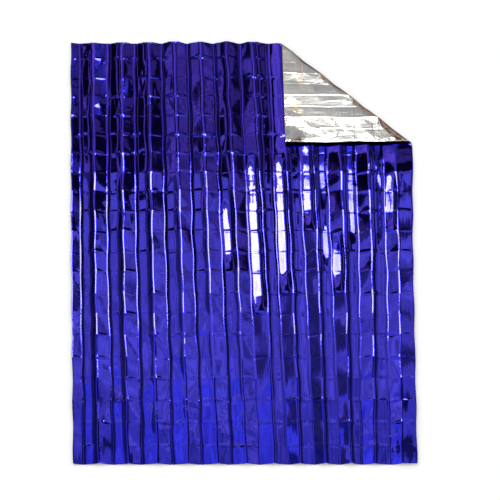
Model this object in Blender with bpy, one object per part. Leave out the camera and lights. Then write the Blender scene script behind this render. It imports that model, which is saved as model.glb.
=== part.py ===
"""Emergency foil blanket: one sheet of film with its packing creases, laid flat, one corner folded over.

Metres, +Z up. +X runs to the right across the sheet and +Y towards its head, where the right corner is
turned over and shows the silver back. The origin is the middle of the sheet's outline, on the surface that
the sheet lies on.

The sheet is described before the corner is folded: creases run along it from head to foot, mountains and
valleys in turn, and cross creases divide each panel between them into cells. The corner is then bent over
the fold line and lies on the rest, a little apart.
"""

import math
from typing import NamedTuple

import bmesh
import bpy
import numpy as np
from mathutils import Vector

MM = 0.001

# The sheet as it lies, before its corner is folded
FILM = 1.5 * MM  # thickness
HALF_LENGTH = 1.0395
CROSS_PANELS = (
    81, 101, 96, 98, 100, 94, 96, 93, 103, 97, 104, 96, 110, 97, 102, 108, 100, 102, 106, 110, 84,
)  # length of each cell in millimetres, from head to foot

# How the creases run
VALLEY_FLAT = 8 * MM  # width of the strip that lies on the surface along each valley
PANEL_CROWN = 0.07  # how far a panel bows up at its middle, as a share of its rise
CELL_LIFT = 0.08  # how much cross creases raise and lower a mountain in turn, as a share of its rise
WANDER = 1.5 * MM  # how far a crease leaves its line from cell to cell

# The corner that is folded over
FOLD_HEAD_X = 0.148  # where the fold line leaves the head edge
FOLD_SIDE_Y = 0.511  # where it meets the right edge
PRESSED_SHARE = 0.42  # what is left of a mountain's rise in the corner and in what lies under it
PRESSED_RISE = 5.6 * MM  # the highest mountain there
LAYER_GAP = 2.0 * MM
PRESSED_REACH = 0.11  # how far past the folded corner the creases stay pressed down
CORNER_SLIDE = 0.03  # how far the folded corner has slid to the right, for each metre past the fold
CURL_RISE = 5 * MM  # how far the tip of the corner lifts
CURL_REACH = 0.09
BEND_STEPS = 6


class Line(NamedTuple):
    """A crease or side edge, in millimetres: where it runs and how high, at the head, middle and foot."""

    kind: str
    x_head: float
    x_middle: float
    x_foot: float
    rise_head: float
    rise_middle: float
    rise_foot: float


LINES = (
    Line("edge", -681, -659, -631, 5, 7, 7),
    Line("valley", -645, -622, -593, 0, 0, 0),
    Line("mountain", -595, -567, -536, 7, 12, 9),
    Line("valley", -533, -518, -480, 0, 0, 0),
    Line("mountain", -479, -456, -423, 7, 12, 8),
    Line("valley", -427, -406, -370, 0, 0, 0),
    Line("mountain", -371, -343, -310, 9, 13, 8),
    Line("valley", -319, -293, -257, 0, 0, 0),
    Line("mountain", -267, -231, -194, 13, 13, 8),
    Line("valley", -214, -186, -147, 0, 0, 0),
    Line("mountain", -162, -125, -83, 13, 13, 8),
    Line("valley", -110, -75, -34, 0, 0, 0),
    Line("mountain", -58, -13, 25, 15, 14, 9),
    Line("valley", -4, 32, 74, 0, 0, 0),
    Line("mountain", 46, 94, 132, 12, 14, 10),
    Line("valley", 108, 141, 180, 0, 0, 0),
    Line("mountain", 160, 196, 227, 9, 13, 10),
    Line("valley", 214, 248, 280, 0, 0, 0),
    Line("mountain", 268, 301, 323, 9, 13, 11),
    Line("valley", 327, 351, 378, 0, 0, 0),
    Line("mountain", 381, 406, 418, 9, 14, 10),
    Line("valley", 439, 460, 461, 0, 0, 0),
    Line("mountain", 497, 512, 508, 9, 13, 9),
    Line("valley", 555, 567, 567, 0, 0, 0),
    Line("mountain", 613, 616, 616, 8, 11, 9),
    Line("edge", 688, 671, 669, 4, 9, 9),
)

# Film colours, linear: the blue face and the silver back
BLUE = (0.035, 0.022, 0.42)
SILVER = (0.62, 0.60, 0.58)
FILM_ROUGHNESS = 0.12


def between_stations(y, head, middle, foot):
    """A value read at the station y from its values at the sheet's head, middle and foot."""
    return float(np.interp(y, (-HALF_LENGTH, 0.0, HALF_LENGTH), (foot, middle, head)))


def line_x(number, y):
    """Where a line crosses the station y, wandering a little from cell to cell."""
    line = LINES[number]
    wander = WANDER * math.sin(2.4 * number + 27.0 * y)
    return MM * between_stations(y, line.x_head, line.x_middle, line.x_foot) + wander


def line_rise(number, y):
    """How high a line stands at the station y, before the corner is pressed down."""
    line = LINES[number]
    lift = 1.0 + CELL_LIFT * math.cos(math.pi * cross_number(y) + 1.7 * number)
    return MM * lift * between_stations(y, line.rise_head, line.rise_middle, line.rise_foot)


def cross_creases():
    """The stations of the cross creases, from the head edge to the foot edge."""
    lengths = np.array(CROSS_PANELS, dtype=float)
    share = np.concatenate(([0.0], np.cumsum(lengths))) / lengths.sum()
    return HALF_LENGTH - 2.0 * HALF_LENGTH * share


STATIONS = cross_creases()


def cross_number(y):
    """The station y as a count of cells from the head."""
    return float(np.interp(y, STATIONS[::-1], np.arange(len(STATIONS))[::-1]))


def section(y):
    """The sheet's cross section at the station y: points (x, height of the underside) from left to right."""
    points = []
    for number, line in enumerate(LINES):
        x, rise = line_x(number, y), line_rise(number, y)
        if number:
            last_x, last_rise = points[-1]
            crown = PANEL_CROWN * abs(rise - last_rise)
            points.append(((last_x + x) / 2, (last_rise + rise) / 2 + crown))
        if line.kind == "valley":
            points.append((x - VALLEY_FLAT / 2, rise))
            points.append((x + VALLEY_FLAT / 2, rise))
        else:
            points.append((x, rise))
    return points


def smooth(share):
    """0 to 1 with no corner at either end."""
    share = min(max(share, 0.0), 1.0)
    return share * share * (3.0 - 2.0 * share)


class CornerFold:
    """The corner bent over the fold line: it turns in a half circle and lies on the sheet."""

    def __init__(self):
        self.start = Vector((FOLD_HEAD_X, HALF_LENGTH))
        end = Vector((line_x(len(LINES) - 1, FOLD_SIDE_Y), FOLD_SIDE_Y))
        self.along = (end - self.start).normalized()
        self.out = Vector((-self.along.y, self.along.x))
        self.centre = PRESSED_RISE + FILM + LAYER_GAP / 2
        self.radius = self.centre - FILM / 2
        self.bend = math.pi * self.radius
        corner = Vector((line_x(len(LINES) - 1, HALF_LENGTH), HALF_LENGTH))
        self.tip = self.turned(corner, 0.0).to_2d()

    def beyond(self, spot):
        """How far a spot of the unfolded sheet lies past the fold line."""
        return (spot - self.start).dot(self.out)

    def turned(self, spot, height):
        """Where a point of the unfolded sheet goes when the corner is folded."""
        past = self.beyond(spot)
        if past <= 0:
            return Vector((spot.x, spot.y, height))
        foot = spot - past * self.out
        arm = self.centre - height
        if past < self.bend:
            angle = past / self.radius
            ground = foot + arm * math.sin(angle) * self.out
            return Vector((ground.x, ground.y, self.centre - arm * math.cos(angle)))
        lying = past - self.bend
        ground = foot - lying * self.out
        return Vector((ground.x + CORNER_SLIDE * lying, ground.y, self.centre + arm))

    def pressed(self, spot):
        """1 in the corner and under it, falling to 0 round it."""
        if self.beyond(spot) > 0:
            return 1.0
        aside = math.hypot(max(self.tip.x - spot.x, 0.0), max(self.tip.y - spot.y, 0.0))
        return 1.0 - smooth(aside / PRESSED_REACH)

    def curl(self, spot, place):
        """How far the folded corner lifts towards its tip."""
        if self.beyond(spot) < self.bend:
            return 0.0
        near = 1.0 - (place.to_2d() - self.tip).length / CURL_REACH
        return CURL_RISE * smooth(near)


def flat_slab():
    """The unfolded sheet as a flat closed slab: its faces at height 0 and 1, cut along every crease."""
    mesh = bmesh.new()
    rows = [[mesh.verts.new((x, y, 0.0)) for x, _ in section(y)] for y in STATIONS]
    for upper, lower in zip(rows, rows[1:]):
        for left in range(len(upper) - 1):
            mesh.faces.new((lower[left], lower[left + 1], upper[left + 1], upper[left]))
    return mesh


def cut_along_bend(mesh, fold):
    """Extra edges across the corner, so that the bend is round."""
    for step in range(BEND_STEPS + 1):
        spot = fold.start + fold.bend * step / BEND_STEPS * fold.out
        bmesh.ops.bisect_plane(
            mesh,
            geom=mesh.verts[:] + mesh.edges[:] + mesh.faces[:],
            dist=0.4 * MM,
            plane_co=(spot.x, spot.y, 0.0),
            plane_no=(fold.out.x, fold.out.y, 0.0),
        )


def thicken(mesh):
    """The second face of the film, one unit above the first, and the rim between them."""
    made = bmesh.ops.extrude_face_region(mesh, geom=mesh.faces[:], use_keep_orig=True)
    raised = [part for part in made["geom"] if isinstance(part, bmesh.types.BMVert)]
    bmesh.ops.translate(mesh, verts=raised, vec=(0.0, 0.0, 1.0))
    bmesh.ops.recalc_face_normals(mesh, faces=mesh.faces[:])


def shape(mesh, fold):
    """Each point raised to its crease and, in the corner, folded over."""
    for vert in mesh.verts:
        spot, layer = vert.co.to_2d(), vert.co.z
        xs, rises = zip(*section(spot.y))
        rise = float(np.interp(spot.x, xs, rises))
        rise *= 1.0 - fold.pressed(spot) * (1.0 - PRESSED_SHARE)
        place = fold.turned(spot, rise + layer * FILM)
        place.z += fold.curl(spot, place)
        vert.co = place


def film(name, colour):
    """Metallised film, as a maker would name its two sides."""
    material = bpy.data.materials.new(name)
    material.use_nodes = True
    shader = material.node_tree.nodes["Principled BSDF"]
    shader.inputs["Base Color"].default_value = (*colour, 1.0)
    shader.inputs["Metallic"].default_value = 1.0
    shader.inputs["Roughness"].default_value = FILM_ROUGHNESS
    material.diffuse_color = (*colour, 1.0)
    return material


def film_sides(mesh):
    """Blue on the face and the rim, silver on the back: material numbers for the flat slab's faces."""
    for face in mesh.faces:
        face.material_index = 1 if face.normal.z < -0.5 else 0


def centred(mesh):
    """The mesh moved so that its outline's middle is over the origin and its lowest point is at 0."""
    corners = np.array([vert.co for vert in mesh.verts])
    low, high = corners.min(axis=0), corners.max(axis=0)
    middle = (low + high) / 2
    bmesh.ops.translate(mesh, verts=mesh.verts[:], vec=(-middle[0], -middle[1], -low[2]))


def make_blanket():
    """The whole blanket as one closed solid."""
    fold = CornerFold()
    mesh = flat_slab()
    cut_along_bend(mesh, fold)
    thicken(mesh)
    film_sides(mesh)
    shape(mesh, fold)
    centred(mesh)
    bmesh.ops.triangulate(mesh, faces=mesh.faces[:])
    data = bpy.data.meshes.new("blanket")
    mesh.to_mesh(data)
    mesh.free()
    data.materials.append(film("blue film", BLUE))
    data.materials.append(film("silver film", SILVER))
    blanket = bpy.data.objects.new("blanket", data)
    bpy.context.scene.collection.objects.link(blanket)
    return blanket


def main():
    """Clear the scene and build the blanket in it."""
    for old in list(bpy.data.objects):
        bpy.data.objects.remove(old, do_unlink=True)
    make_blanket()


main()
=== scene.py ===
"""The looks of the emergency foil blanket: mirror film, violet blue over silver, with its packing creases.

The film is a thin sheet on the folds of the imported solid. It is modelled unfolded, as a field of panels
between lengthwise creases and cells between cross creases, and its corner is then bent over the fold line.
"""

import logging
import math
from dataclasses import dataclass, field
from enum import Enum
from functools import cached_property
from typing import NamedTuple

import bmesh
import bpy
import numpy as np
from mathutils import Matrix, Vector

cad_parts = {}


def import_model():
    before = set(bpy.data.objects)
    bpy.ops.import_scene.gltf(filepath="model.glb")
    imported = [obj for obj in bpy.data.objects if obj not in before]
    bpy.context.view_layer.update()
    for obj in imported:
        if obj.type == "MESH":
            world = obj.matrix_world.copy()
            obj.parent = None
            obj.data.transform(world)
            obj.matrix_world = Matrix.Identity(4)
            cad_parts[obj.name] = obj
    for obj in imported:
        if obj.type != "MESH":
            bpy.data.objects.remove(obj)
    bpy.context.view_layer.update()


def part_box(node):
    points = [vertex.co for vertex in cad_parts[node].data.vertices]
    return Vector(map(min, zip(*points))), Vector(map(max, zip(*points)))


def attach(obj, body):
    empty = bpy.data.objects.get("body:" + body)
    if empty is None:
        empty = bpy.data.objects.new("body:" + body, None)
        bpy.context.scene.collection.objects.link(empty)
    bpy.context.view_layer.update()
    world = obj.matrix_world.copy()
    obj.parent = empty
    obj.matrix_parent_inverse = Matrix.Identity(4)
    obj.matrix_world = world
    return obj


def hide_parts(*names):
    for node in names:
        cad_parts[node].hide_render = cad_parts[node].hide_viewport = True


MM = 0.001
LOG = logging.getLogger("foil_blanket")

Socket = bpy.types.NodeSocket
Triple = tuple[float, float, float]


class Kind(Enum):
    """What a lengthwise line of the sheet is."""

    EDGE = "edge"
    VALLEY = "valley"
    MOUNTAIN = "mountain"


class Line(NamedTuple):
    """A lengthwise line in millimetres: where it runs and how high, at the head, middle and foot."""

    kind: Kind
    x_head: float
    x_middle: float
    x_foot: float
    rise_head: float
    rise_middle: float
    rise_foot: float
    beside: float  # the share of the rise, in the panel to its left, that lies beside the crest


class Calm(NamedTuple):
    """A stretch of a panel that lies nearly level, so that it catches the overhead light."""

    panel: int  # counted from the left edge
    first: int  # the cross crease where it starts, counted from the head edge
    last: int  # the cross crease where it ends
    level: float  # the share of its rise that lies right beside the crest


class Crumple(NamedTuple):
    """A stretch of the sheet where the film is crumpled between its creases."""

    left: int  # its first panel, counted from the left edge
    right: int  # the panel after its last one
    head: int  # its first cell, counted from the head edge
    foot: int  # the cell after its last one
    amount: float


class Buckle(NamedTuple):
    """A small three-cornered ridge with flat sides, widest at its base and pointed at its far end."""

    panel: int  # counted from the left edge
    cross: float  # where its base lies, in cells from the head
    across: float  # its middle, as a share of the panel's width
    width: float  # of its base, as a share of the panel's width
    reach: float  # how far it runs towards the foot, or towards the head if negative, in cells
    rise: float  # how high its base stands out, in millimetres


LINES: tuple[Line, ...] = (
    Line(Kind.EDGE, -681, -659, -631, 5, 7, 7, 0),
    Line(Kind.VALLEY, -645, -622, -593, 0, 0, 0, 0),
    Line(Kind.MOUNTAIN, -595, -567, -536, 7, 12, 9, 0.15),
    Line(Kind.VALLEY, -533, -518, -480, 0, 0, 0, 0),
    Line(Kind.MOUNTAIN, -479, -456, -423, 7, 12, 8, 0.15),
    Line(Kind.VALLEY, -427, -406, -370, 0, 0, 0, 0),
    Line(Kind.MOUNTAIN, -371, -343, -310, 9, 13, 8, 0.15),
    Line(Kind.VALLEY, -319, -293, -257, 0, 0, 0, 0),
    Line(Kind.MOUNTAIN, -267, -231, -194, 13, 13, 8, 0.15),
    Line(Kind.VALLEY, -214, -186, -147, 0, 0, 0, 0),
    Line(Kind.MOUNTAIN, -162, -125, -83, 13, 13, 8, 0.15),
    Line(Kind.VALLEY, -110, -75, -34, 0, 0, 0, 0),
    Line(Kind.MOUNTAIN, -58, -13, 25, 15, 14, 9, 0.15),
    Line(Kind.VALLEY, -4, 32, 74, 0, 0, 0, 0),
    Line(Kind.MOUNTAIN, 46, 94, 132, 12, 14, 10, 0),
    Line(Kind.VALLEY, 108, 141, 180, 0, 0, 0, 0.3),
    Line(Kind.MOUNTAIN, 160, 196, 227, 9, 13, 10, 0),
    Line(Kind.VALLEY, 214, 248, 280, 0, 0, 0, 0.45),
    Line(Kind.MOUNTAIN, 268, 301, 323, 9, 13, 11, 0),
    Line(Kind.VALLEY, 327, 351, 378, 0, 0, 0, 0.45),
    Line(Kind.MOUNTAIN, 381, 406, 418, 9, 14, 10, 0),
    Line(Kind.VALLEY, 439, 460, 461, 0, 0, 0, 0.45),
    Line(Kind.MOUNTAIN, 497, 512, 508, 9, 13, 9, 0),
    Line(Kind.VALLEY, 555, 567, 567, 0, 0, 0, 0.45),
    Line(Kind.MOUNTAIN, 613, 616, 616, 8, 11, 9, 0),
    Line(Kind.EDGE, 688, 671, 669, 4, 9, 9, 0),
)

CALMS: tuple[Calm, ...] = (
    Calm(1, 0, 6, 0.3),
    Calm(3, 0, 6, 0.3),
    Calm(5, 0, 6, 0.3),
    Calm(7, 0, 7, 0.02),
    Calm(9, 0, 7, 0.02),
    Calm(1, 8, 21, 0.4),
    Calm(3, 8, 21, 0.32),
    Calm(5, 8, 14, 0.28),
    Calm(11, 9, 11, 0.75),
    Calm(13, 7, 13, 0.9),
    Calm(15, 7, 12, 0.9),
    Calm(17, 6, 9, 0.9),
    Calm(18, 5, 8, 0.92),
    Calm(18, 10, 11, 0.92),
    Calm(19, 11, 12, 0.9),
    Calm(20, 5, 10, 0.92),
    Calm(22, 5, 10, 0.9),
    Calm(23, 8, 9, 0.9),
)

CRUMPLES: tuple[Crumple, ...] = (
    Crumple(0, 4, 0, 2, 0.25),
    Crumple(0, 7, 1, 4, 0.22),
    Crumple(7, 12, 2, 6, 0.12),
    Crumple(1, 6, 4, 9, 0.10),
    Crumple(0, 2, 12, 14, 0.12),
    Crumple(0, 5, 18, 20, 0.1),
    Crumple(5, 13, 18, 20, 0.18),
    Crumple(22, 25, 19, 21, 0.2),
    Crumple(13, 25, 5, 8, 0.1),
    Crumple(22, 25, 5, 7, 0.15),
)

BUCKLES: tuple[Buckle, ...] = (
    Buckle(0, 1, 0.60, 0.9, -0.7, 1.0),
    Buckle(0, 3, 0.42, 0.9, 0.6, 1.0),
    Buckle(0, 4, 0.42, 0.9, -0.5, 1.0),
    Buckle(1, 1, 0.50, 1.0, 0.9, 2.0),
    Buckle(1, 3, 0.60, 1.0, 1.0, 1.7),
    Buckle(1, 20, 0.42, 0.9, 0.4, 1.5),
    Buckle(2, 1, 0.42, 0.9, 1.0, 1.2),
    Buckle(2, 3, 0.42, 1.0, 0.9, 1.3),
    Buckle(2, 19, 0.60, 0.8, -0.5, 1.5),
    Buckle(3, 3, 0.60, 1.0, 0.9, 2.2),
    Buckle(3, 18, 0.42, 0.8, -0.7, 2.0),
    Buckle(4, 2, 0.60, 0.9, 0.9, 1.7),
    Buckle(5, 2, 0.50, 1.0, 0.9, 2.2),
    Buckle(6, 3, 0.22, 0.6, -1.0, 1.3),
    Buckle(6, 3, 0.22, 0.6, 0.85, 1.3),
    Buckle(6, 19, 0.60, 0.9, -1.0, 0.8),
    Buckle(7, 19, 0.60, 0.7, 0.8, 1.4),
    Buckle(9, 6, 0.60, 0.7, -0.8, 1.0),
    Buckle(10, 5, 0.42, 0.7, 0.8, 1.2),
    Buckle(11, 9, 0.76, 0.5, 0.8, 1.0),
    Buckle(11, 20, 0.42, 0.6, -0.6, 1.2),
    Buckle(22, 18, 0.60, 0.9, 2.0, 1.5),
    Buckle(23, 20.5, 0.42, 0.9, -2.0, 1.6),
    Buckle(24, 18, 0.42, 0.9, 1.0, 1.0),
)


@dataclass(frozen=True)
class CreasePattern:
    """How the creases run over the unfolded sheet, and how the film lies between them."""

    half_length: float = 1.0395
    cross_panels: tuple[int, ...] = (
        81, 101, 96, 98, 100, 94, 96, 93, 103, 97, 104, 96, 110, 97, 102, 108, 100, 102, 106, 110, 84,
    )  # the length of each cell in millimetres, from head to foot
    wander: float = 1.5 * MM  # how far a crease leaves its line
    wander_turns: tuple[float, float] = (2.4, 27.0)  # its phase for each line and for each metre, in radians
    cell_lift: float = 0.08  # how much cross creases raise and lower a crest in turn, as a share of its rise
    lift_turn: float = 1.7  # the phase of that for each line, in radians
    flat_head: float = 0.09  # how much of a panel lies level along each crease at the head, of its width
    flat_middle: float = 0.034
    flat_foot: float = 0.03
    crest_share: float = 1.5  # how much wider the flat is at a mountain than at a valley
    heel: float = 0.22  # the share of the rise in the narrow steep strip beside the valley
    calm_heel: float = 0.08  # the same where a panel is calm
    calmest: float = 0.9  # the level that counts as fully calm
    heel_width: float = 0.10  # how wide that strip is, as a share of the way up
    steep_from: float = 0.55  # where the steep strip beside the crest starts, as a share of the way up
    calm_steep_from: float = 0.75  # the same where a panel is calm
    node_play: float = 0.13 * MM  # how much the creases' heights vary from cell to cell
    valley_play: float = 0.4  # how much of it a valley has
    dimple: float = 0.12 * MM  # how much the dents and ridges of the cells stand off
    dimple_bias: float = 0.2  # how far ridges outnumber dents
    dimple_skew: float = 0.9  # how far their lines may lean
    dimple_rim: float = 3.0  # how much steeper they end at a cell's edges than they slope inside it
    edge_play: float = 0.1  # how much of the play and the dimples is left at the side edges
    worn: float = 22.0  # how much larger the play and the dimples are where the film is most crumpled
    cross_relief: float = 0.5 * MM  # how high the highest cross creases stand
    cross_shares: tuple[float, ...] = (1.0, 0.7, 0.4, -0.5)  # how high others stand, or lie, against them
    kink: float = 0.9 * MM  # how far a crease is knocked aside where a cross crease meets it
    knots: tuple[float, ...] = (1.0, 1.0, 1.5, 2.6)  # how much wider a crease may be there
    knot_reach: float = 0.05  # how far a knot runs along the crease, as a share of a cell
    smooth_film: float = 0.06  # the crumple where the table names none
    columns: tuple[float, ...] = (0.0, 0.08, 0.22, 0.42, 0.60, 0.76, 0.90, 1.0)
    rows: tuple[float, ...] = (0.0, 0.035, 0.12, 0.25, 0.40, 0.55, 0.70, 0.84, 0.965)
    seed: int = 11

    def stations(self) -> np.ndarray:
        """The stations of the cross creases, from the head edge to the foot edge."""
        lengths = np.array(self.cross_panels, dtype=float)
        share = np.concatenate(([0.0], np.cumsum(lengths))) / lengths.sum()
        return self.half_length * (1.0 - 2.0 * share)

    def between(self, y: float, head: float, middle: float, foot: float) -> float:
        """A value at the station y from its values at the head, middle and foot.

        Args:
            y: The station in metres.
            head: The value at the head edge.
            middle: The value halfway down.
            foot: The value at the foot edge.

        Returns:
            The value at the station.
        """
        return float(np.interp(y, (-self.half_length, 0.0, self.half_length), (foot, middle, head)))

    def line_x(self, number: int, y: float) -> float:
        """Where a line crosses the station y, wandering a little from cell to cell.

        Args:
            number: The line, counted from the left edge.
            y: The station in metres.

        Returns:
            Its place across the sheet in metres.
        """
        line = LINES[number]
        per_line, per_metre = self.wander_turns
        wander = self.wander * math.sin(per_line * number + per_metre * y)
        return MM * self.between(y, line.x_head, line.x_middle, line.x_foot) + wander


def smooth(share: float) -> float:
    """0 to 1 with no corner at either end."""
    share = min(max(share, 0.0), 1.0)
    return share * share * (3.0 - 2.0 * share)


@dataclass(frozen=True)
class CornerFold:
    """The corner bent over the fold line: it turns in a half circle and lies on the sheet."""

    pattern: CreasePattern
    head_x: float = 0.148  # where the fold line leaves the head edge
    side_y: float = 0.511  # where it meets the right edge
    pressed_share: float = 0.42  # what is left of a rise in the film under the corner
    turned_share: float = 0.05  # and in the film that is turned over
    pressed_rise: float = 5.6 * MM  # the highest crest under the corner
    pressed_reach: float = 0.11  # how far past the folded corner the creases stay pressed down
    solid: float = 1.5 * MM  # the thickness of the solid's film
    gap: float = 2.0 * MM  # between the two layers
    slide: float = 0.03  # how far the corner has slid to the right, for each metre past the fold
    curl_rise: float = 5 * MM  # how far its tip lifts
    curl_reach: float = 0.09  # how far from the tip
    steps: int = 8  # edges round the bend
    weld: float = 0.3 * MM  # how near to a cut an edge is taken to lie on it

    @cached_property
    def start(self) -> Vector:
        """Where the fold line leaves the head edge."""
        return Vector((self.head_x, self.pattern.half_length))

    @cached_property
    def out(self) -> Vector:
        """The direction from the fold line to the sheet's unfolded corner."""
        end = Vector((self.pattern.line_x(len(LINES) - 1, self.side_y), self.side_y))
        along = (end - self.start).normalized()
        return Vector((-along.y, along.x))

    @cached_property
    def centre(self) -> float:
        """The height of the axis that the corner turns about."""
        return self.pressed_rise + self.solid + self.gap / 2

    @cached_property
    def bend(self) -> float:
        """The length of film in the half circle."""
        return math.pi * (self.centre - self.solid / 2)

    @cached_property
    def tip(self) -> Vector:
        """Where the sheet's corner lies when it is folded."""
        head = self.pattern.half_length
        return self.turned(Vector((self.pattern.line_x(len(LINES) - 1, head), head, 0.0))).to_2d()

    def beyond(self, spot: Vector) -> float:
        """How far a spot of the unfolded sheet lies past the fold line, in metres."""
        return (spot - self.start).dot(self.out)

    def kept_rise(self, spot: Vector) -> float:
        """What is left of a rise of the film, in and round the folded corner.

        Args:
            spot: The place on the unfolded sheet.

        Returns:
            The share, 1 away from the corner.
        """
        past = self.beyond(spot)
        if past > 0:
            turned = smooth(past / self.bend - 0.5)
            return self.pressed_share + (self.turned_share - self.pressed_share) * turned
        aside = math.hypot(max(self.tip.x - spot.x, 0.0), max(self.tip.y - spot.y, 0.0))
        return 1.0 - (1.0 - smooth(aside / self.pressed_reach)) * (1.0 - self.pressed_share)

    def turned(self, point: Vector) -> Vector:
        """Where a point past the fold line goes when the corner is folded flat.

        Args:
            point: The point on the unfolded sheet.

        Returns:
            The folded point.
        """
        past = self.beyond(point.to_2d())
        foot = point.to_2d() - past * self.out
        arm = self.centre - point.z
        if past < self.bend:
            angle = math.pi * past / self.bend
            ground = foot + arm * math.sin(angle) * self.out
            return Vector((ground.x, ground.y, self.centre - arm * math.cos(angle)))
        lying = past - self.bend
        ground = foot - lying * self.out
        return Vector((ground.x + self.slide * lying, ground.y, self.centre + arm))

    def folded(self, point: Vector) -> Vector:
        """Where any point of the sheet goes when the corner is folded and its tip lifts.

        Args:
            point: The point on the unfolded sheet.

        Returns:
            The folded point.
        """
        past = self.beyond(point.to_2d())
        if past <= 0:
            return point
        place = self.turned(point)
        if past > self.bend:
            place.z += self.curl_rise * smooth(1.0 - (place.to_2d() - self.tip).length / self.curl_reach)
        return place


class Spot(NamedTuple):
    """A corner of the film's mesh, unfolded."""

    place: Triple
    mapped: tuple[float, float]  # its place in panels and cells
    crumple: float


@dataclass
class Blanket:
    """The whole sheet of film, as one thin closed mesh on the folds of its solid."""

    pattern: CreasePattern = field(default_factory=CreasePattern)
    film: float = 0.3 * MM
    flat_size: tuple[float, float] = (1.40, 2.10)

    def __post_init__(self) -> None:
        """Draw all that varies from cell to cell, in a fixed order."""
        pattern = self.pattern
        self.fold = CornerFold(pattern)
        self.stations = pattern.stations()
        play = np.random.default_rng(pattern.seed)
        by_line = (len(LINES), len(self.stations))
        by_panel = (len(LINES) - 1, len(self.stations))
        self.node_heights = play.normal(0.0, pattern.node_play, by_line)
        self.dimples = play.normal(pattern.dimple_bias, 1.0, by_panel) * pattern.dimple
        self.skews = play.uniform(-pattern.dimple_skew, pattern.dimple_skew, by_panel)
        self.cross_signs = play.choice(pattern.cross_shares, by_panel)
        self.kinks = play.normal(0.0, pattern.kink, by_line)
        self.knots = play.choice(pattern.knots, by_line)
        self.node_heights[[0, -1]] *= pattern.edge_play
        self.dimples[[0, -1]] *= pattern.edge_play
        self.kinks[[0, -1]] = 0.0
        self.knots[[0, -1]] = 1.0
        self.levels = self.calm_levels()
        self.heights = np.array(
            [[self.line_height(number, cross) for cross in range(by_line[1])] for number in range(by_line[0])]
        )

    def crease_x(self, number: int, cell: int, down: float) -> float:
        """Where a crease runs across the sheet, kinked at each cross crease.

        Args:
            number: The crease, counted from the left edge.
            cell: The cell, counted from the head edge.
            down: The way down the cell, from 0 to 1.

        Returns:
            Its place in metres.
        """
        y = self.stations[cell] * (1 - down) + self.stations[cell + 1] * down
        kink = self.kinks[number, cell] * (1 - down) + self.kinks[number, cell + 1] * down
        return self.pattern.line_x(number, y) + kink

    def crease_width(self, number: int, cell: int, down: float) -> float:
        """How wide the level strip along a crease is, against a plain valley's.

        Args:
            number: The crease, counted from the left edge.
            cell: The cell, counted from the head edge.
            down: The way down the cell, from 0 to 1.

        Returns:
            The share: more along a crest, and more where a knot is.
        """
        plain = 1.0 if LINES[number].kind is Kind.VALLEY else self.pattern.crest_share
        nearest = cell if down < 0.5 else cell + 1
        near = max(1.0 - min(down, 1.0 - down) / self.pattern.knot_reach, 0.0)
        return plain * (1.0 + (self.knots[number, nearest] - 1.0) * near)

    def calm_levels(self) -> np.ndarray:
        """The share of each panel's rise that lies beside its crest, at each cross crease."""
        shares = [LINES[panel + 1].beside for panel in range(len(LINES) - 1)]
        levels = np.repeat(np.array(shares)[:, None], len(self.stations), axis=1)
        for calm in CALMS:
            for cross in range(len(self.stations)):
                if calm.first <= cross <= calm.last:
                    levels[calm.panel, cross] = calm.level
        return levels

    def line_height(self, number: int, cross: int) -> float:
        """How high a line stands where a cross crease meets it.

        Args:
            number: The line, counted from the left edge.
            cross: The cross crease, counted from the head edge.

        Returns:
            Its height in metres, before the corner is pressed down.
        """
        line, y = LINES[number], self.stations[cross]
        lift = 1.0 + self.pattern.cell_lift * math.cos(math.pi * cross + self.pattern.lift_turn * number)
        rise = MM * lift * self.pattern.between(y, line.rise_head, line.rise_middle, line.rise_foot)
        worn = self.crumple(max(number - 1, 0), min(cross, len(self.stations) - 2))
        play = self.node_heights[number, cross] * (1.0 + self.pattern.worn * worn)
        play *= self.pattern.valley_play if line.kind is Kind.VALLEY else 1.0
        return max(rise + play, 0.0)

    def panel_profile(self, share: float, level: float) -> float:
        """How much of a panel's rise is reached part of the way from its valley to its mountain.

        Args:
            share: The way from the flat at the valley, 0, to the flat at the mountain, 1.
            level: The share of the rise that lies beside the crest.

        Returns:
            The share of the rise.
        """
        pattern = self.pattern
        if level == 0.0:
            return share
        start = pattern.steep_from + (pattern.calm_steep_from - pattern.steep_from) * level
        last = max((share - start) / (1.0 - start), 0.0) ** 2
        heel = pattern.heel + (pattern.calm_heel - pattern.heel) * min(level / pattern.calmest, 1.0)
        first = 1.0 - max(1.0 - share / pattern.heel_width, 0.0) ** 2
        return (1.0 - level - heel) * share + level * last + heel * first

    def height(self, panel: int, cell: int, across: float, down: float) -> float:
        """The film's height in a cell.

        Args:
            panel: The panel, counted from the left edge.
            cell: The cell, counted from the head edge.
            across: The way across the panel between its flats, from 0 to 1.
            down: The way down the cell, from 0 to 1.

        Returns:
            The height in metres of the solid's underside there, before the corner is pressed down.
        """
        near = self.heights[panel, cell] * (1 - down) + self.heights[panel, cell + 1] * down
        far = self.heights[panel + 1, cell] * (1 - down) + self.heights[panel + 1, cell + 1] * down
        level = self.levels[panel, cell] * (1 - down) + self.levels[panel, cell + 1] * down
        way = across if LINES[panel].kind is Kind.VALLEY else 1.0 - across
        low, high = (near, far) if LINES[panel].kind is Kind.VALLEY else (far, near)
        rise = low + (high - low) * self.panel_profile(way, level)
        rise += self.dimple(panel, cell, across, down)
        rise += self.buckle(panel, cell + down, across)
        return max(rise, 0.0)

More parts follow.
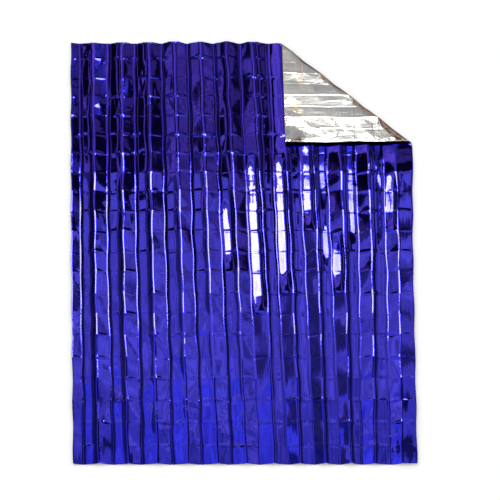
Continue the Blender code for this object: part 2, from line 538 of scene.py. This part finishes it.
    def dimple(self, panel: int, cell: int, across: float, down: float) -> float:
        """How far the film of a cell stands off its plane: a flat-sided dent or ridge, set askew.

        Args:
            panel: The panel, counted from the left edge.
            cell: The cell, counted from the head edge.
            across: The way across the panel, from 0 to 1.
            down: The way down the cell, from 0 to 1.

        Returns:
            The height in metres.
        """
        size = self.dimples[panel, cell] * (1.0 + self.pattern.worn * self.crumple(panel, cell))
        askew = abs(across - 0.5 - self.skews[panel, cell] * (down - 0.5))
        inside = min(across, 1.0 - across, down, 1.0 - down)
        return size * max(min(1.0 - 2.0 * askew, self.pattern.dimple_rim * inside), 0.0)

    def buckle(self, panel: int, station: float, across: float) -> float:
        """How far the buckles of the table raise the film.

        Args:
            panel: The panel, counted from the left edge.
            station: The place along it, in cells from the head.
            across: The way across the panel, from 0 to 1.

        Returns:
            The height in metres.
        """
        raised = 0.0
        for buckle in BUCKLES:
            way = (station - buckle.cross) / buckle.reach
            if buckle.panel == panel and 0.0 <= way < 1.0:
                aside = abs(across - buckle.across) / (buckle.width / 2)
                raised = max(raised, MM * buckle.rise * (1.0 - way - aside))
        return raised

    def crumple(self, panel: int, cell: int) -> float:
        """How crumpled the film is in a cell, from 0 to 1."""
        amounts = [
            patch.amount
            for patch in CRUMPLES
            if patch.left <= panel < patch.right and patch.head <= cell < patch.foot
        ]
        return max([self.pattern.smooth_film, *amounts])

    def cross_ridge(self, panel: int, cell: int, across: float, down: float) -> float:
        """How far the cross crease at the head of a cell stands off its panel.

        Args:
            panel: The panel, counted from the left edge.
            cell: The cell, counted from the head edge.
            across: The way across the panel, from 0 to 1.
            down: The way down the cell, from 0 to 1.

        Returns:
            The height in metres, 0 except on the crease itself.
        """
        if down > 0.0 or cell == 0:
            return 0.0
        return self.cross_signs[panel, cell] * self.pattern.cross_relief * math.sin(math.pi * across)

    def row(self, cell: int, down: float) -> list[Spot]:
        """One row of the mesh, from the left edge to the right.

        Args:
            cell: The cell, counted from the head edge.
            down: The way down the cell, from 0 to 1.

        Returns:
            Its corners.
        """
        pattern = self.pattern
        y = self.stations[cell] * (1 - down) + self.stations[cell + 1] * down
        flat = pattern.between(y, pattern.flat_head, pattern.flat_middle, pattern.flat_foot)
        spots = []
        for panel in range(len(LINES) - 1):
            sides = (panel, panel + 1)
            near, far = (self.crease_x(number, cell, down) for number in sides)
            left, right = (flat * self.crease_width(number, cell, down) for number in sides)
            ways = [(0.0, 0.0)]
            ways += [(share, left + share * (1.0 - left - right)) for share in pattern.columns]
            if panel == len(LINES) - 2:
                ways.append((1.0, 1.0))
            for way, across in ways:
                x = near * (1 - across) + far * across
                z = self.height(panel, cell, way, down) + self.cross_ridge(panel, cell, across, down)
                mapped = (panel + across, cell + down)
                spots.append(Spot((x, y, max(z, 0.0)), mapped, self.crumple(panel, cell)))
        return spots

    def unfolded(self) -> bmesh.types.BMesh:
        """The unfolded sheet: its creases and cells, with a UV map in panels and cells.

        Returns:
            The mesh, one layer thick.
        """
        mesh = bmesh.new()
        film_map = mesh.loops.layers.uv.new("film")
        crumple = mesh.verts.layers.float.new("crumple")
        cells = len(self.stations) - 1
        rows = [self.row(cell, down) for cell in range(cells) for down in self.pattern.rows]
        rows.append(self.row(cells - 1, 1.0))
        grid = [[mesh.verts.new(spot.place) for spot in row] for row in rows]
        for verts, row in zip(grid, rows):
            for vert, spot in zip(verts, row):
                vert[crumple] = spot.crumple
        for j in range(len(rows) - 1):
            for i in range(len(rows[0]) - 1):
                corners = ((j + 1, i), (j + 1, i + 1), (j, i + 1), (j, i))
                face = mesh.faces.new([grid[a][b] for a, b in corners])
                for loop, (a, b) in zip(face.loops, corners):
                    loop[film_map].uv = rows[a][b].mapped
        return mesh

    def bend_corner(self, mesh: bmesh.types.BMesh) -> None:
        """Press the creases round the corner, cut the film along the bend and fold it over.

        Args:
            mesh: The unfolded sheet, changed in place.
        """
        fold = self.fold
        for vert in mesh.verts:
            vert.co.z = vert.co.z * fold.kept_rise(vert.co.to_2d()) + fold.solid / 2
        for step in range(fold.steps + 1):
            spot = fold.start + fold.bend * step / fold.steps * fold.out
            bmesh.ops.bisect_plane(
                mesh,
                geom=mesh.verts[:] + mesh.edges[:] + mesh.faces[:],
                dist=fold.weld,
                plane_co=(spot.x, spot.y, 0.0),
                plane_no=(fold.out.x, fold.out.y, 0.0),
            )
        for vert in mesh.verts:
            vert.co = fold.folded(vert.co)

    def build(self) -> bpy.types.Object:
        """Model the film, give it its thickness and dress its two sides.

        Returns:
            The finished sheet, in the place of its solid.
        """
        mesh = self.unfolded()
        self.bend_corner(mesh)
        data = bpy.data.meshes.new("foil_sheet")
        mesh.to_mesh(data)
        mesh.free()
        corners = np.array([vert.co for vert in data.vertices])
        own = Vector((corners.min(axis=0) + corners.max(axis=0)) / 2)
        low, high = (Vector(corner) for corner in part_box("blanket"))
        shift = (low + high) / 2 - own
        data.transform(Matrix.Translation((shift.x, shift.y, 0.0)))
        sheet = bpy.data.objects.new("foil_sheet", data)
        bpy.context.scene.collection.objects.link(sheet)
        data.materials.append(BLUE_FACE.material())
        data.materials.append(SILVER_BACK.material())
        self.thicken(sheet)
        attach(sheet, "root")
        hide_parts("blanket")
        LOG.info("%s: %d faces", sheet.name, len(sheet.data.polygons))
        return sheet

    def thicken(self, sheet: bpy.types.Object) -> None:
        """Give the film its thickness, with the silver side underneath.

        Args:
            sheet: The single-layer sheet, changed in place.
        """
        solidify = sheet.modifiers.new("film", "SOLIDIFY")
        solidify.thickness = self.film
        solidify.offset = 0.0
        solidify.material_offset = 1
        bpy.ops.object.select_all(action="DESELECT")
        bpy.context.view_layer.objects.active = sheet
        sheet.select_set(True)
        bpy.ops.object.modifier_apply(modifier=solidify.name)
        bpy.ops.object.shade_smooth()
        sheet.select_set(False)


@dataclass(frozen=True)
class Graph:
    """A material's nodes, with a short way to add each kind that is used more than once."""

    tree: bpy.types.NodeTree

    def place(self) -> Socket:
        """The Object coordinates."""
        return self.tree.nodes.new("ShaderNodeTexCoord").outputs["Object"]

    def joined(self, operation: str, first: Socket, second: Socket | float) -> Socket:
        """Two numbers joined by a Math node.

        Args:
            operation: The Math node's operation.
            first: The first number.
            second: The second number.

        Returns:
            The result.
        """
        node = self.tree.nodes.new("ShaderNodeMath")
        node.operation = operation
        self.tree.links.new(first, node.inputs[0])
        if isinstance(second, float):
            node.inputs[1].default_value = second
        else:
            self.tree.links.new(second, node.inputs[1])
        return node.outputs["Value"]

    def axis(self, vector: Socket, name: str) -> Socket:
        """One coordinate of a vector.

        Args:
            vector: The vector.
            name: X, Y or Z.

        Returns:
            The coordinate.
        """
        node = self.tree.nodes.new("ShaderNodeSeparateXYZ")
        self.tree.links.new(vector, node.inputs["Vector"])
        return node.outputs[name]

    def noise(self, vector: Socket, scale: float, output: str = "Fac") -> Socket:
        """Soft noise.

        Args:
            vector: The coordinates.
            scale: How many patches there are for each unit of them.
            output: Fac for a number or Color for a vector.

        Returns:
            The noise, about 0.5.
        """
        node = self.tree.nodes.new("ShaderNodeTexNoise")
        node.inputs["Scale"].default_value = scale
        self.tree.links.new(vector, node.inputs["Vector"])
        return node.outputs[output]

    def mapped(self, vector: Socket, scale: Triple, shift: Triple = (0.0, 0.0, 0.0)) -> Socket:
        """Coordinates that are stretched and then moved.

        Args:
            vector: The coordinates.
            scale: The factor along each axis.
            shift: The move along each axis.

        Returns:
            The new coordinates.
        """
        node = self.tree.nodes.new("ShaderNodeMapping")
        node.inputs["Location"].default_value = shift
        node.inputs["Scale"].default_value = scale
        self.tree.links.new(vector, node.inputs["Vector"])
        return node.outputs["Vector"]

    def ranged(
        self,
        value: Socket,
        source: tuple[float, float],
        result: tuple[float, float] = (0.0, 1.0),
        curve: str = "SMOOTHSTEP",
    ) -> Socket:
        """A number carried from one range to another, and held at its ends.

        Args:
            value: The number.
            source: The range it comes from.
            result: The range it goes to.
            curve: The Map Range node's interpolation.

        Returns:
            The new number.
        """
        node = self.tree.nodes.new("ShaderNodeMapRange")
        node.interpolation_type = curve
        for name, number in zip(("From Min", "From Max", "To Min", "To Max"), (*source, *result)):
            node.inputs[name].default_value = number
        self.tree.links.new(value, node.inputs["Value"])
        return node.outputs["Result"]

    def bump(self, height: Socket, distance: float) -> bpy.types.Node:
        """A Bump node at full strength.

        Args:
            height: The height.
            distance: How many metres a height of 1 is.

        Returns:
            The node.
        """
        node = self.tree.nodes.new("ShaderNodeBump")
        node.inputs["Strength"].default_value = 1.0
        node.inputs["Distance"].default_value = distance
        self.tree.links.new(height, node.inputs["Height"])
        return node


@dataclass(frozen=True)
class Film:
    """One side of the metallised film: its metal's tint, its gloss, its fine streaks and its dents."""

    name: str
    tint: Triple
    roughness: float
    coat: float
    streak: float  # height of the fine lengthwise streaks, in metres
    dent: float  # slope of the dents' faces
    patchy: bool  # whether the dents follow the sheet's crumpled patches
    crease: float = 0.0  # height of the sharp ridge along each packing crease, in metres
    coat_roughness: float = 0.03
    streak_stretch: Triple = (1.0, 0.10, 1.0)
    streak_scale: float = 60.0  # streaks for each metre across
    warp_scale: float = 9.0
    warp: float = 0.05  # how far noise bends the dents' outlines
    dent_sizes: tuple[tuple[float, float], ...] = ((15.0, 1.0), (40.0, 0.5))  # dents for each metre, slope
    crease_widths: tuple[tuple[str, float], ...] = (("X", 0.07), ("Y", 0.035))  # in panels and in cells

    def material(self) -> bpy.types.Material:
        """The side's procedural material.

        Returns:
            A Principled material with streaks and creased dents in its surface.
        """
        made = bpy.data.materials.new(self.name)
        made.use_nodes = True
        graph, links = Graph(made.node_tree), made.node_tree.links
        shader = made.node_tree.nodes["Principled BSDF"]
        shader.inputs["Base Color"].default_value = (*self.tint, 1.0)
        shader.inputs["Metallic"].default_value = 1.0
        shader.inputs["Roughness"].default_value = self.roughness
        shader.inputs["Coat Weight"].default_value = self.coat
        shader.inputs["Coat Roughness"].default_value = self.coat_roughness
        place = graph.place()
        streaks = graph.noise(graph.mapped(place, self.streak_stretch), self.streak_scale)
        fine = graph.bump(streaks, self.streak)
        coarse = graph.bump(self.dents(graph, place), 1.0)
        links.new(fine.outputs["Normal"], coarse.inputs["Normal"])
        links.new(coarse.outputs["Normal"], shader.inputs["Normal"])
        links.new(coarse.outputs["Normal"], shader.inputs["Coat Normal"])
        return made

    def dents(self, graph: Graph, place: Socket) -> Socket:
        """Flat-sided dents with sharp creases between them, at two sizes.

        Args:
            graph: The material's nodes.
            place: The Object coordinates.

        Returns:
            Their height in metres.
        """
        nodes, links = graph.tree.nodes, graph.tree.links
        bent = nodes.new("ShaderNodeMix")
        bent.data_type = "VECTOR"
        bent.inputs["Factor"].default_value = self.warp
        links.new(place, bent.inputs["A"])
        links.new(graph.noise(place, self.warp_scale, "Color"), bent.inputs["B"])
        heights = []
        for scale, share in self.dent_sizes:
            edges = nodes.new("ShaderNodeTexVoronoi")
            edges.feature = "DISTANCE_TO_EDGE"
            faces = nodes.new("ShaderNodeTexVoronoi")
            faces.feature = "F1"
            for node in (edges, faces):
                node.voronoi_dimensions = "2D"
                node.inputs["Scale"].default_value = scale
                links.new(bent.outputs["Result"], node.inputs["Vector"])
            lean = graph.joined("SUBTRACT", faces.outputs["Color"], 0.5)
            slope = graph.joined("MULTIPLY", lean, 2.0 * share * self.dent / scale)
            heights.append(graph.joined("MULTIPLY", edges.outputs["Distance"], slope))
        height = graph.joined("ADD", heights[0], heights[1])
        if not self.patchy:
            return graph.joined("ADD", height, self.creases(graph))
        patches = nodes.new("ShaderNodeAttribute")
        patches.attribute_name = "crumple"
        return graph.joined("MULTIPLY", height, patches.outputs["Fac"])

    def creases(self, graph: Graph) -> Socket:
        """A sharp ridge along each packing crease, by the film's own map in panels and cells.

        Args:
            graph: The material's nodes.

        Returns:
            Its height in metres.
        """
        film_map = graph.tree.nodes.new("ShaderNodeUVMap")
        film_map.uv_map = "film"
        ridges = []
        for axis, width in self.crease_widths:
            aside = graph.joined("PINGPONG", graph.axis(film_map.outputs["UV"], axis), 0.5)
            ridges.append(graph.ranged(aside, (0.0, width), (self.crease, 0.0)))
        return graph.joined("ADD", ridges[0], ridges[1])


BLUE_FACE = Film(
    name="blue film",
    tint=(0.014, 0.013, 0.57),
    roughness=0.05,
    coat=0.4,
    streak=0.14 * MM,
    dent=0.12,
    patchy=True,
)
SILVER_BACK = Film(
    name="silver film",
    tint=(0.60, 0.60, 0.62),
    roughness=0.09,
    coat=0.0,
    streak=0.05 * MM,
    dent=0.022,
    patchy=False,
    crease=0.09 * MM,
)


class Board(NamedTuple):
    """A lit board over the sheet, which shows only in its reflections."""

    name: str
    near: float  # the station of its side towards the foot, in metres
    far: float  # and of its side towards the head
    tint: Triple
    levels: tuple[tuple[float, float], ...]  # places across it and how bright it is there, white being 1


WHITE_TINT = (1.0, 1.0, 1.0)
LAMP_TINT = (1.35, 1.3, 0.6)
WINDOW_TINT = (1.15, 1.12, 1.02)
HEAD_TINT = (2.3, 1.35, 1.0)
LILAC_TINT = (1.7, 1.45, 1.0)
FOOT_TINT = (0.9, 0.95, 1.1)
EVENING_TINT = (1.35, 1.25, 1.05)


@dataclass(frozen=True)
class Studio:
    """Pale floor, even light, and the boards that the film mirrors."""

    board_height: float = 4.5
    boards: tuple[Board, ...] = (
        Board(
            "left foot", 1.5, 2.72, FOOT_TINT,
            (
                (-3.6, 0.12), (-2.6, 0.2), (-2.3, 0.25),
                (-1.95, 0.3), (-1.8, 1.0), (-0.85, 0.95), (-0.62, 0.35),
            ),
        ),
        Board(
            "left thigh", 2.72, 3.3, LILAC_TINT,
            (
                (-3.6, 0.12), (-2.6, 0.18), (-2.3, 0.22),
                (-1.98, 0.26), (-1.86, 0.8), (-0.9, 0.95), (-0.62, 0.4),
            ),
        ),
        Board(
            "left middle", 3.3, 4.12, LILAC_TINT,
            (
                (-3.6, 0.12), (-2.7, 0.15), (-2.4, 0.25), (-2.06, 0.3),
                (-1.94, 0.75), (-1.2, 0.85), (-0.8, 0.7), (-0.62, 0.4),
            ),
        ),
        Board(
            "left head", 4.12, 6.2, HEAD_TINT,
            (
                (-7.0, 0.02), (-2.9, 0.03), (-2.75, 0.5), (-2.3, 0.6), (-2.25, 0.15),
                (-2.1, 0.12), (-2.02, 0.02), (-1.14, 0.01), (-1.02, 0.9), (-0.62, 1.0),
            ),
        ),
        Board("middle foot", 1.5, 2.72, FOOT_TINT, ((-0.62, 0.12), (0.64, 0.08))),
        Board("middle thigh", 2.72, 3.1, LILAC_TINT, ((-0.62, 1.6), (0.64, 1.2))),
        Board("overhead light", 3.1, 3.8, LAMP_TINT, ((-0.62, 24.0), (-0.05, 24.0))),
        Board("overhead light middle", 3.1, 3.95, LAMP_TINT, ((-0.05, 24.0), (0.14, 24.0))),
        Board("overhead light right", 3.1, 3.86, WINDOW_TINT, ((0.14, 22.0), (0.64, 22.0))),
        Board("middle head", 3.8, 6.2, HEAD_TINT, ((-0.62, 1.0), (-0.3, 0.85), (-0.05, 0.5))),
        Board("middle head right", 3.95, 6.2, LILAC_TINT, ((-0.05, 0.5), (0.14, 0.35))),
        Board("window edge", 3.86, 4.04, WINDOW_TINT, ((0.14, 15.0), (0.64, 15.0))),
        Board("over the corner near", 4.04, 4.3, WHITE_TINT, ((0.14, 0.7), (0.64, 0.7))),
        Board("over the corner far", 4.3, 6.2, WHITE_TINT, ((0.14, 0.5), (0.64, 0.5))),
        Board(
            "right foot", 1.5, 2.72, EVENING_TINT,
            (
                (0.64, 0.15), (0.8, 0.15), (0.94, 0.7), (1.25, 0.8), (1.36, 0.45),
                (1.6, 0.45), (1.7, 0.7), (2.4, 0.65), (3.2, 0.2), (3.8, 0.12),
            ),
        ),
        Board(
            "right thigh", 2.72, 3.4, LILAC_TINT,
            (
                (0.64, 0.2), (0.9, 0.25), (1.04, 0.9), (1.6, 0.95),
                (1.7, 0.85), (2.4, 0.7), (3.2, 0.4), (3.8, 0.15),
            ),
        ),
        Board(
            "right near middle", 3.4, 4.12, LILAC_TINT,
            ((0.64, 0.2), (1.14, 0.18), (1.26, 0.9), (1.8, 0.85)),
        ),
        Board(
            "right far middle", 3.4, 4.5, LILAC_TINT,
            ((1.8, 0.8), (2.6, 0.75), (3.2, 0.55), (3.9, 0.5), (4.4, 0.15)),
        ),
        Board("beside the corner", 4.12, 6.2, WHITE_TINT, ((0.64, 0.45), (0.8, 0.35))),
        Board("right near head", 4.12, 4.75, HEAD_TINT, ((0.8, 0.3), (0.86, 0.02), (1.8, 0.02))),
        Board("right upper head", 4.75, 6.2, HEAD_TINT, ((0.8, 0.3), (1.8, 0.2))),
        Board(
            "right far head", 4.5, 6.2, HEAD_TINT,
            ((1.8, 0.02), (2.3, 0.03), (2.7, 0.45), (3.3, 0.42), (3.6, 0.04), (7.0, 0.02)),
        ),
    )
    top_shift: float = 3.52  # how much nearer the foot a view from above meets the same boards
    top_end: float = 1.5  # where their copies stop, at the first of the boards themselves
    patchiness: float = 0.6  # how far the boards' brightness wanders
    patches: tuple[float, float] = (4.0, 0.8)  # bright patches for each metre across and along
    patch_noise: tuple[float, float] = (0.3, 0.7)  # the noise at the dimmest and the brightest
    dome_radius: float = 9.0
    dome_parts: tuple[int, int] = (48, 24)  # segments round it and rings
    dome_foot: float = 0.01  # the height of its rim
    dome_tint: Triple = (1.05, 1.0, 1.0)
    dome_lit: tuple[float, float] = (0.05, 1.1)  # the levels of its dim and bright patches
    dome_patches: float = 0.32  # patches for each metre
    dome_noise: tuple[float, float] = (0.44, 0.56)  # the noise at the dimmest and the brightest
    dome_dark: float = 0.12  # the level where it is dark
    dark_from: tuple[float, float] = (1.2, 2.2)  # the dark sets in between these stations
    dark_above: tuple[float, float] = (2.4, 3.4)  # and between these heights
    floor_size: float = 400.0
    floor_gap: float = 0.5 * MM
    floor_grey: float = 0.98
    floor_roughness: float = 0.9
    world_level: float = 1.05

    def build(self) -> None:
        """Set the floor, the world, the backdrop and the boards, with their copies for a view from above."""
        self.floor()
        self.world()
        for board in self.boards:
            self.board(board)
            near = board.near - self.top_shift
            far = min(board.far - self.top_shift, self.top_end)
            if near < far:
                self.board(board._replace(name=f"{board.name} above", near=near, far=far))
        self.backdrop()
        bpy.context.scene.view_settings.view_transform = "Standard"

    def emitter(self, card: bpy.types.Object, tint: Triple) -> Graph:
        """Make a card glow.

        Args:
            card: The card, which gives the material its name.
            tint: The colour of its light.

        Returns:
            The material's nodes, of which Emission still wants its strength.
        """
        made = bpy.data.materials.new(card.name)
        made.use_nodes = True
        nodes, links = made.node_tree.nodes, made.node_tree.links
        nodes.clear()
        light = nodes.new("ShaderNodeEmission")
        light.inputs["Color"].default_value = (*tint, 1.0)
        out = nodes.new("ShaderNodeOutputMaterial")
        links.new(light.outputs["Emission"], out.inputs["Surface"])
        card.data.materials.append(made)
        return Graph(made.node_tree)

    def mirror_only(self, card: bpy.types.Object) -> None:
        """Let a card show in reflections alone, so that it neither blocks a view nor shades the floor."""
        card.visible_camera = False
        card.visible_diffuse = False
        card.visible_shadow = False
        card.visible_transmission = False

    def board(self, board: Board) -> None:
        """One lit board, facing down.

        Args:
            board: Its name, extent and brightness.
        """
        left, right = board.levels[0][0], board.levels[-1][0]
        width, length = right - left, board.far - board.near
        middle_x, middle_y = (left + right) / 2, (board.near + board.far) / 2
        bpy.ops.mesh.primitive_plane_add(size=1.0, location=(middle_x, middle_y, self.board_height))
        card = bpy.context.active_object
        card.name = board.name.replace(" ", "_") + "_board"
        card.scale = (width, length, 1.0)
        graph = self.emitter(card, board.tint)
        nodes, links = graph.tree.nodes, graph.tree.links
        place = graph.place()
        ramp = nodes.new("ShaderNodeValToRGB")
        links.new(graph.joined("ADD", graph.axis(place, "X"), 0.5), ramp.inputs["Fac"])
        brightest = max(level for _, level in board.levels)
        while len(ramp.color_ramp.elements) < len(board.levels):
            ramp.color_ramp.elements.new(1.0)
        for stop, (x, level) in zip(ramp.color_ramp.elements, board.levels):
            stop.position = (x - left) / width
            stop.color = (level / brightest, level / brightest, level / brightest, 1.0)
        across, along = self.patches
        spread = graph.mapped(place, (across * width, along * length, 1.0), (middle_x, middle_y, 0.0))
        wander = graph.ranged(
            graph.noise(spread, 1.0),
            self.patch_noise,
            (brightest * (1.0 - self.patchiness), brightest * (1.0 + self.patchiness)),
            "LINEAR",
        )
        level = graph.joined("MULTIPLY", ramp.outputs["Color"], wander)
        links.new(level, nodes["Emission"].inputs["Strength"])
        self.mirror_only(card)

    def backdrop(self) -> None:
        """A dome: dark round the head side, for the film's black lines, and patched with light elsewhere."""
        segments, rings = self.dome_parts
        bpy.ops.mesh.primitive_uv_sphere_add(segments=segments, ring_count=rings, radius=self.dome_radius)
        dome = bpy.context.active_object
        dome.name = "backdrop"
        bpy.ops.object.mode_set(mode="EDIT")
        bpy.ops.mesh.select_all(action="SELECT")
        bpy.ops.mesh.bisect(plane_co=(0, 0, self.dome_foot), plane_no=(0, 0, 1), clear_inner=True)
        bpy.ops.object.mode_set(mode="OBJECT")
        graph = self.emitter(dome, self.dome_tint)
        nodes, links = graph.tree.nodes, graph.tree.links
        place = graph.place()
        lit = graph.ranged(graph.noise(place, self.dome_patches), self.dome_noise, self.dome_lit)
        headward = graph.ranged(graph.axis(place, "Y"), self.dark_from)
        upward = graph.ranged(graph.axis(place, "Z"), self.dark_above)
        level = nodes.new("ShaderNodeMix")
        level.inputs["B"].default_value = self.dome_dark
        links.new(graph.joined("MULTIPLY", headward, upward), level.inputs["Factor"])
        links.new(lit, level.inputs["A"])
        links.new(level.outputs["Result"], nodes["Emission"].inputs["Strength"])
        self.mirror_only(dome)

    def floor(self) -> None:
        """A plain pale floor under the sheet."""
        bpy.ops.mesh.primitive_plane_add(size=self.floor_size, location=(0, 0, -self.floor_gap))
        floor = bpy.context.active_object
        floor.name = "floor"
        made = bpy.data.materials.new("pale floor")
        made.use_nodes = True
        shader = made.node_tree.nodes["Principled BSDF"]
        shader.inputs["Base Color"].default_value = (*[self.floor_grey] * 3, 1.0)
        shader.inputs["Roughness"].default_value = self.floor_roughness
        shader.inputs["Specular IOR Level"].default_value = 0.0
        floor.data.materials.append(made)

    def world(self) -> None:
        """Even pale light from all round."""
        world = bpy.data.worlds.new("pale room")
        world.use_nodes = True
        background = world.node_tree.nodes["Background"]
        background.inputs["Color"].default_value = (1.0, 1.0, 1.0, 1.0)
        background.inputs["Strength"].default_value = self.world_level
        bpy.context.scene.world = world


@dataclass(frozen=True)
class View:
    """The camera: far away on the foot side, looking down at the sheet."""

    elevation: float = math.radians(52.0)
    lens: float = 400.0  # in millimetres
    sensor: float = 36.0
    distance: float = 21.617
    reach: float = 200.0  # how far it sees
    target: Triple = (0.0377, -0.0095, 0.0)

    def build(self) -> None:
        """Place the camera and make it the scene's."""
        data = bpy.data.cameras.new("camera")
        data.lens = self.lens
        data.sensor_width = self.sensor
        data.clip_end = self.reach
        camera = bpy.data.objects.new("camera", data)
        bpy.context.scene.collection.objects.link(camera)
        back = Vector((0.0, -math.cos(self.elevation), math.sin(self.elevation)))
        camera.location = Vector(self.target) + self.distance * back
        camera.rotation_euler = (-back).to_track_quat("-Z", "Y").to_euler()
        bpy.context.scene.camera = camera


def main() -> None:
    """Build the blanket, its studio and the camera, and log how many faces the film has."""
    logging.basicConfig(level=logging.INFO, format="%(message)s")
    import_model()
    bpy.ops.object.select_all(action="DESELECT")
    View().build()
    Studio().build()
    Blanket().build()


if __name__ == "__main__":
    main()
